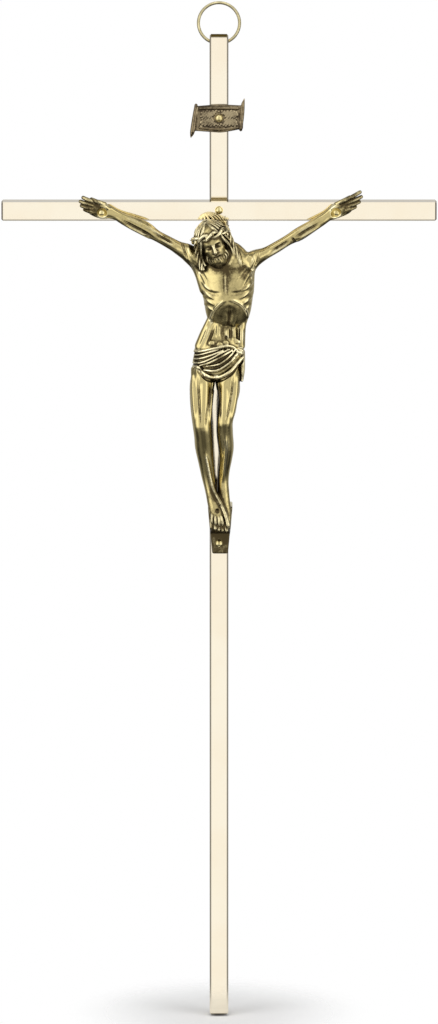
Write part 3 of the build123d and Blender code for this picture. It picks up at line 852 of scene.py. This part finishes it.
folds = (
    (0.36, [(-6.1, -34.9), (-3.1, -34.1), (0.1, -33.3), (1.8, -33.0), (3.5, -33.3), (4.8, -34.6)]),
    (0.24, [(-6.2, -35.9), (-3.7, -35.0), (-1.4, -34.3), (-0.2, -33.9)]),
    (0.26, [(-6.3, -36.8), (-4.1, -36.1), (-1.6, -35.2), (0.9, -34.1)]),
    (0.26, [(-6.5, -37.8), (-4.5, -37.3), (-2.0, -36.2), (0.5, -34.8), (2.6, -33.9)]),
    (0.3, [(-6.5, -38.8), (-4.8, -38.2), (-2.0, -37.0), (0.5, -35.7), (3.3, -34.2)]),
    (0.28, [(-3.2, -38.3), (-0.1, -37.6), (1.8, -36.4), (3.8, -34.7)]),
    (0.34, [(-4.0, -39.4), (-0.6, -39.3), (2.2, -37.6), (4.6, -35.4)]),
    (0.5, hem),
)
wrapped = 5
valley_thicks = (0.24, 0.26, 0.28, 0.28, 0.6, 0.55, 0.6)


def evenly(line):
    """Ten places spread evenly over a smooth line's run."""
    fine = np.array(smooth_rows(line, 6))
    return fine[np.linspace(0, len(fine) - 1, 10).round().astype(int)]


under_hem = [(x, z - 0.85) for x, z in hem]
body.carve(strand(body.skin(smooth_rows(under_hem, 3), 0.1), 0.4, steps=1), 0.3)
for thick, (_, upper), (_, lower) in zip(valley_thicks, folds, folds[1:]):
    middle = [tuple(place) for place in (evenly(upper) + evenly(lower)) / 2]
    body.carve(strand(body.skin(middle, 0.06), thick, steps=1), 0.14)
for index, (thick, line) in enumerate(folds):
    places = body.skin(smooth_rows(line, 3), 0.12)
    if index < wrapped:
        x, forward, z = places[0]
        places.insert(0, (x + 0.2, 1.4, z - 0.2))
    body.model(strand(places, thick, steps=1), 0.1)
for line in ([(3.6, -34.6), (4.8, -33.9), (5.9, -34.4)], [(4.2, -35.6), (5.2, -34.8), (6.0, -35.2)]):
    body.model(strand(body.skin(smooth_rows(line, 3)), 0.32, steps=1), 0.12)

# Neck, then the head in its own across, out and up
head_centre = np.array((-1.5, 6.1, -6.9))
head_scale = 1.17
head_tilt = 20
head_bow = 5
head_axes = turn_axes(head_tilt, head_bow)


def on_head(places):
    """Head places as places of the figure."""
    return [tuple(head_centre + head_scale * np.array(place) @ head_axes) for place in places]


def head_egg(centre, radii):
    """An ellipsoid that keeps to the head's own axes."""
    return egg(on_head([centre])[0], np.array(radii) * head_scale, head_axes)


def head_strand(places, thick, thin=None, steps=3):
    """A strand through head places."""
    return strand(on_head(places), thick * head_scale, thin and thin * head_scale, steps)


body.model(strand([(-0.6, 4.2, -9.0), (0.4, 4.4, -11.5), (1.2, 4.4, -13.6)], 2.1, 2.4), 0.5)
neck_cords = (
    [(3.4, -10.0), (2.6, -11.6), (1.9, -12.8)],
    [(-3.2, -11.4), (-0.6, -12.4), (0.9, -12.9)],
)
ridges(neck_cords, 0.5, 0.2)
body.model(head_egg((0, -0.3, 0.9), (3.1, 3.6, 3.8)), 0.4)
body.model(head_egg((0, 0.9, -1.3), (2.35, 2.35, 3.2)), 0.5)
for side in (-1, 1):
    body.model(head_egg((side * 1.45, 2.0, -0.8), (0.8, 0.7, 0.55)), 0.35)
    body.carve(head_egg((side * 1.08, 3.05, -0.05), (0.8, 0.55, 0.45)), 0.3)
    body.model(head_egg((side * 1.08, 2.4, -0.1), (0.55, 0.5, 0.4)), 0.12)
    lid = [(side * 0.6, 2.9, -0.25), (side * 1.08, 3.02, -0.36), (side * 1.6, 2.75, -0.22)]
    body.carve(head_strand(lid, 0.09), 0.08)
    brow = [(side * 0.35, 2.95, 0.55), (side * 1.0, 2.82, 0.66), (side * 1.85, 2.2, 0.36)]
    body.model(head_strand(brow, 0.2, 0.15), 0.3)
    body.model(head_egg((side * 0.42, 3.2, -1.35), (0.3, 0.36, 0.28)), 0.15)
body.model(head_strand([(0, 2.85, 0.45), (0, 3.35, -0.5), (0, 3.75, -1.25)], 0.3, 0.42), 0.2)
body.model(head_strand([(-0.75, 2.75, -2.3), (0, 3.2, -2.15), (0.75, 2.75, -2.3)], 0.2), 0.12)
body.model(head_strand([(-0.6, 2.75, -2.65), (0, 3.1, -2.7), (0.6, 2.75, -2.65)], 0.22), 0.12)
body.carve(head_strand([(-0.8, 2.9, -2.45), (0, 3.35, -2.42), (0.8, 2.9, -2.45)], 0.08), 0.08)
body.model(head_egg((0, 2.3, -3.5), (1.2, 0.9, 0.9)), 0.4)
# Beard and moustache in wavy strands
body.model(head_egg((0, 1.7, -3.9), (1.8, 1.3, 1.4)), 0.4)
for side in (-1, 1):
    lip_hair = [(side * 0.12, 3.25, -1.85), (side * 0.7, 3.05, -2.02), (side * 1.15, 2.65, -2.35)]
    body.model(head_strand(lip_hair, 0.2, 0.14), 0.15)
    for index in range(5):
        spread = 0.25 + 0.42 * index
        lock = [
            (side * spread * 1.05, 3.0 - 0.32 * index, -3.0 + 0.25 * index),
            (side * (spread * 1.1 + 0.12), 2.9 - 0.3 * index, -3.9 + 0.2 * index),
            (side * (spread * 0.85 - 0.05), 2.5 - 0.22 * index, -4.8 + 0.15 * index),
            (side * (spread * 0.6 + 0.1), 2.3 - 0.2 * index, -5.5 + 0.2 * index),
        ]
        body.model(head_strand(lock, 0.28, 0.16), 0.1)
# Hair: parted in the middle, drawn back past the cheeks and down to the shoulders
body.model(head_egg((0, -0.8, 0.8), (3.3, 3.35, 3.65)), 0.3)
hair_locks = (
    [(-5.0, 4.4, -6.4), (-5.0, 5.6, -10.2), (-4.2, 6.8, -13.6)],
    [(1.5, 5.2, -4.6), (3.1, 5.8, -7.4), (4.9, 6.6, -10.4), (5.6, 7.4, -12.8)],
)
for places in hair_locks:
    body.model(strand(places, 1.05, 0.3), 0.3)
strands_each_side = 9
for side in (-1, 1):
    for index in range(strands_each_side):
        share = index / (strands_each_side - 1)
        start_turn = math.radians(14 + 160 * share)
        end_turn = math.radians(64 + 112 * share)
        places = []
        for step in range(9):
            fall = step / 8
            up = 4.75 - 8.6 * fall
            turn = start_turn + (end_turn - start_turn) * min(1, 1.5 * fall)
            turn += 0.07 * math.sin(9 * fall + 1.3 * index)
            wide = math.sqrt(1 - max(0, (up - 0.8) / 4.05) ** 2)
            deep = 4.25 if math.cos(turn) > 0 else 3.65
            places.append((side * 3.55 * wide * math.sin(turn), deep * wide * math.cos(turn) - 0.75, up))
        body.model(head_strand(places, 0.32, 0.28, 2), 0.1)
strands_each_lock = 6
for places in hair_locks:
    for index in range(strands_each_lock):
        wavy = []
        for step, (x, forward, z) in enumerate(smooth_rows(places, 4)):
            out = 1.15 - 0.08 * step
            twist = 2 * math.pi * index / strands_each_lock + 0.5 * step
            wavy.append((x + out * math.cos(twist), forward + out * math.sin(twist), z))
        body.model(strand(wavy, 0.42, 0.2, 1), 0.08)
# Crown of two twisted stems with thorns, worn high in front
crown_level = 1.7
crown_rise = 0.2
crown_turns = 5
thorns = 16
for phase in (0, math.pi):
    stem = []
    for step in range(85):
        around = 2 * math.pi * step / 84
        twist = crown_turns * around + phase
        reach = 1 + 0.07 * math.cos(twist)
        out = 3.95 * reach * math.cos(around)
        up = crown_level + crown_rise * out + 0.48 * math.sin(twist)
        stem.append((3.85 * reach * math.sin(around), out - 0.6, up))
    body.model(head_strand(stem, 0.36, steps=1), 0.08)
for index in range(thorns):
    around = 2 * math.pi * (index + 0.5) / thorns
    way = np.array((math.sin(around), math.cos(around), 0.9 * (-1) ** index))
    out = 4.0 * math.cos(around)
    foot = np.array((3.9 * math.sin(around), out - 0.6, crown_level + crown_rise * out))
    body.model(head_strand([tuple(foot), tuple(foot + way * 0.7)], 0.22, 0.08, 1), 0.1)

# The flat back that lies on the crossbar, the foot block, and the drilled recesses
behind_low = np.array((-60, -20, -100), np.float32)
behind_high = np.array((60, 0.6, 20), np.float32)
body.carve([(behind_low, behind_high, lambda points: points[:, 1])], 0.05)
bar_side = (upright_high.y - upright_low.y) / millimetre
block_top = -75.6
block_bottom = -88.6
block_sides = (
    ((0, -bar_side, 0), (0, -1, 0)),
    ((2.3, 0, block_bottom), (1, 0, -0.0885)),
    ((-1.7, 0, block_bottom), (-1, 0, -0.0885)),
)
ledge_walls = (
    ((0, 0, block_top), (0, 0, 1)),
    ((0, 2.44, block_top), (0, 5.46, 1.28)),
    ((0, 3.72, -81.1), (0, 2.04, -5.28)),
)
tongue_walls = (
    ((0, -1.56, 0), (0, 1, 0)),
    ((0, 0, block_bottom), (0, 0, -1)),
    ((0, 0, -79), (0, 0, 1)),
)
block_low = (-3.6, -bar_side - 0.3, block_bottom - 0.3)
block_high = (4.2, 4.4, block_top + 0.3)
body.model(block(block_low, block_high, block_sides + ledge_walls, 0.4), 0.35)
body.model(block(block_low, block_high, block_sides + tongue_walls, 0.4), 0.3)
hand_low, hand_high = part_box("right_hand_rivet")
hand_reach = (hand_low.x + hand_high.x) / 2 / millimetre
foot_rivet_low, foot_rivet_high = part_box("foot_rivet")
foot_rivet_level = ((foot_rivet_low.z + foot_rivet_high.z) / 2 - corpus_origin.z) / millimetre
recess_radius = 1.42
recess_floor = 1.3
shank_hole_radius = 0.7
for reach in (-hand_reach, hand_reach):
    recess = [(reach, recess_floor + recess_radius, 0.0), (reach, 6.0, 0.0)]
    shank_hole = [(reach, -3.0, 0.0), (reach, 2.0, 0.0)]
    body.carve(strand(recess, recess_radius, steps=1), 0.1)
    body.carve(strand(shank_hole, shank_hole_radius, steps=1), 0.05)
foot_shank_hole = [(0, -8.0, foot_rivet_level), (0, -1.0, foot_rivet_level)]
body.carve(strand(foot_shank_hole, shank_hole_radius, steps=1), 0.05)

corpus_low = (-38.03, -5.6, -90.53)
corpus_high = (38, 12.4, 8)
corpus = cast("corpus_figure", body, corpus_low, corpus_high, 0.12 * quick_scale, corpus_origin, 190000)
# Blacking that the rubbing left, and painted shade under the beard, in the belly's hollow, in the
# cloth's fold and between the thighs, as soft spots: centre, reach along each axis, and strength
patina_and_shade_spots = (
    ((-1.0, 9.0, -8.8), (5.2, 5.4, 5.4), 0.16),
    # painted shade in the belly's hollow under the ribs
    ((2.6, 7.6, -25.4), (4.6, 3.0, 4.2), 0.22),
    ((0.3, 0.0, -86.0), (6.0, 8.0, 6.6), 0.42),
    ((1.0, 8.0, -31.2), (4.8, 4.0, 3.6), 0.16),
    ((4.0, 8.0, -16.0), (4.6, 4.0, 6.0), 0.13),
    ((-2.0, 7.5, -18.0), (4.0, 4.0, 6.0), 0.04),
    # painted shade on the inner thighs
    ((-2.0, 6.0, -49.0), (1.2, 4.0, 7.0), 0.2),
    ((-0.1, 6.0, -48.5), (1.0, 4.0, 7.0), 0.2),
    # painted shade in the cloth's fold
    ((0.3, 9.0, -37.8), (4.8, 2.6, 3.4), 0.14),
    ((0.0, 5.0, -76.0), (5.0, 5.0, 9.0), 0.2),
    ((-33.5, 1.5, 2.0), (5.0, 4.0, 5.0), 0.32),
    ((34.0, 1.5, 3.0), (5.0, 4.0, 5.0), 0.32),
    # painted shadow under the beard
    ((1.0, 7.5, -13.4), (4.6, 3.0, 1.8), 0.2),
    ((6.4, 7.0, -14.2), (2.4, 3.0, 2.4), 0.14),
    ((-0.6, 9.5, -11.5), (3.2, 4.0, 2.8), 0.1),
    ((1.2, 9.0, -36.2), (2.6, 2.5, 1.7), 0.14),
    ((3.4, 5.0, -9.0), (3.4, 4.0, 5.0), 0.2),
    ((-5.0, 5.0, -9.5), (2.8, 4.0, 6.0), 0.2),
    ((-1.0, 5.0, -1.0), (7.0, 9.0, 6.0), 0.14),
    ((-18.0, 2.0, -5.0), (10.0, 5.0, 8.0), 0.15),
    ((19.0, 2.0, -6.0), (10.0, 5.0, 8.0), 0.13),
)
points = np.zeros(len(corpus.data.vertices) * 3, np.float32)
corpus.data.vertices.foreach_get("co", points)
points = (points.reshape(-1, 3) - np.array(corpus_origin)) / millimetre * (1, -1, 1)
patina_and_shade = np.zeros(len(points), np.float32)
for centre, reach, amount in patina_and_shade_spots:
    from_centre = np.linalg.norm((points - centre) / np.array(reach), axis=1)
    patina_and_shade += amount * np.clip((1 - from_centre) * 3, 0, 1)
# One attribute carries both the blacking and the painted shade
corpus.data.attributes.new("patina_and_shade", "FLOAT", "POINT").data.foreach_set("value", patina_and_shade)
corpus.data.materials.append(
    antique_brass("antique_corpus", srgb(196, 180, 126), srgb(252, 240, 196), srgb(78, 67, 44), 0.2, 0.56)
)
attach(corpus, "cross")
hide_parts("corpus")

# Rivets
# Five brass rivets with domed heads hold the bars, the plate and the figure together. Their tails are
# filed flush in countersinks behind. The hammered domes stay brighter than what they hold.


def rivet_brass():
    """Hammered bright brass with a little dirt."""
    material, tree, shader, place = new_brass("hammered_rivet")
    dirt = mottle(tree, place, 900.0)
    sockets = {"Vector": place, "Scale": 1600.0}
    facets = put(tree, "ShaderNodeTexVoronoi", sockets, feature="SMOOTH_F1").outputs["Distance"]
    finish = {
        "Base Color": mix(tree, dirt, srgb(232, 218, 166), srgb(186, 170, 114)),
        "Roughness": level(tree, dirt, 0.0, 1.0, 0.18, 0.34),
        "Normal": bumps(tree, facets, 0.1, 0.1),
    }
    join(tree, shader, finish)
    return material


hammered = rivet_brass()
for name in ("crossing_rivet", "titulus_rivet", "left_hand_rivet", "right_hand_rivet", "foot_rivet"):
    wear(nodes[name], hammered)

# Stage
# A pale floor under the upright's foot that fades into a white surround, soft light from a tent that is
# open below and at the sides, and a long lens a little above the figure.
floor_half = 0.25
floor_level = cad_low.z - 0.5 * millimetre
floor_mesh = bpy.data.meshes.new("floor")
floor_mesh.from_pydata(
    [(x * floor_half, y * floor_half, floor_level) for x, y in ((-1, -1), (1, -1), (1, 1), (-1, 1))],
    [],
    [(0, 1, 2, 3)],
)
floor = bpy.data.objects.new("floor", floor_mesh)
bpy.context.scene.collection.objects.link(floor)
floor_material = bpy.data.materials.new("pale_floor")
floor_material.use_nodes = True
floor_tree = floor_material.node_tree
floor_tree.nodes.clear()
floor_place = put(floor_tree, "ShaderNodeTexCoord").outputs["Object"]
floor_flat = put(floor_tree, "ShaderNodeVectorMath", {0: floor_place, 1: (1, 1, 0)}, operation="MULTIPLY")
floor_reach = put(floor_tree, "ShaderNodeVectorMath", {0: floor_flat.outputs[0]}, operation="LENGTH")
floor_fade = level(floor_tree, floor_reach.outputs["Value"], 0.008, 0.04, kind="SMOOTHSTEP")
floor_paint = put(floor_tree, "ShaderNodeBsdfDiffuse", {"Color": (0.92, 0.92, 0.92, 1)})
floor_clear = put(floor_tree, "ShaderNodeBsdfTransparent")
floor_sockets = {0: floor_fade, 1: floor_paint.outputs[0], 2: floor_clear.outputs[0]}
floor_mix = put(floor_tree, "ShaderNodeMixShader", floor_sockets)
put(floor_tree, "ShaderNodeOutputMaterial", {"Surface": floor_mix.outputs[0]})
floor.data.materials.append(floor_material)

world = bpy.data.worlds.new("light_tent")
bpy.context.scene.world = world
world.use_nodes = True
tent = world.node_tree
tent.nodes.clear()


def ramp(value, steps, low, high, brightest=1.0):
    """Grey levels of the tent at steps of angle, looked up by a share of the way from low to high."""
    made = put(tent, "ShaderNodeValToRGB", {"Fac": value})
    stops = made.color_ramp.elements
    while len(stops) < len(steps):
        stops.new(1.0)
    for stop, (angle, grey) in zip(stops, steps):
        stop.position = (angle - low) / (high - low)
        stop.color = (grey / brightest, grey / brightest, grey / brightest, 1)
    return compute(tent, "MULTIPLY", made.outputs["Color"], brightest)


generated = put(tent, "ShaderNodeTexCoord").outputs["Generated"]
way = put(tent, "ShaderNodeSeparateXYZ", {"Vector": generated}).outputs
height = level(tent, compute(tent, "ARCSINE", way["Z"]), -math.pi / 2, math.pi / 2)
height_steps = ((-90.0, 0.8), (-74.0, 0.6), (-62.0, 0.12), (-36.0, 0.12), (-23.0, 1.0))
toward = compute(tent, "MULTIPLY", way["Y"], -1.0)
around = compute(tent, "ARCTAN2", compute(tent, "ABSOLUTE", way["X"]), toward)
wall_steps = (
    (0.0, 1.0),
    (12.0, 1.0),
    (22.0, 0.72),
    (36.0, 1.3),
    (50.0, 2.1),
    (66.0, 1.85),
    (77.0, 0.8),
    (88.0, 0.28),
    (106.0, 0.2),
    (130.0, 0.5),
    (180.0, 0.6),
)
below = ramp(height, height_steps, -90.0, 90.0)
walls = ramp(compute(tent, "DIVIDE", around, math.pi), wall_steps, 0.0, 180.0, 2.1)
tent_light = compute(tent, "MULTIPLY", walls, below)
seen = put(tent, "ShaderNodeLightPath").outputs["Is Camera Ray"]
tent_sockets = {"Factor": seen, "A": tent_light, "B": 1.0}
strength = put(tent, "ShaderNodeMix", tent_sockets, data_type="FLOAT").outputs["Result"]
backdrop = put(tent, "ShaderNodeBackground", {"Color": (1, 1, 1, 1), "Strength": strength})
put(tent, "ShaderNodeOutputWorld", {"Surface": backdrop.outputs[0]})

photo_height_pixels = 1024
pixel_size = 0.2527 * millimetre
camera_rise = math.radians(11.5)
camera_distance = 3.0
aim_below_crossing = 75.87 * millimetre
camera_data = bpy.data.cameras.new("camera")
camera = bpy.data.objects.new("camera", camera_data)
bpy.context.scene.collection.objects.link(camera)
camera_up = Vector((0, math.sin(camera_rise), math.cos(camera_rise)))
camera_back = Vector((0, -math.cos(camera_rise), math.sin(camera_rise)))
camera.location = corpus_origin - camera_up * aim_below_crossing + camera_back * camera_distance
camera.rotation_euler = (math.pi / 2 - camera_rise, 0, 0)
camera_data.lens = camera_data.sensor_width * camera_distance / (photo_height_pixels * pixel_size)
camera_data.clip_end = 10
bpy.context.scene.camera = camera
bpy.context.scene.view_settings.view_transform = "Standard"
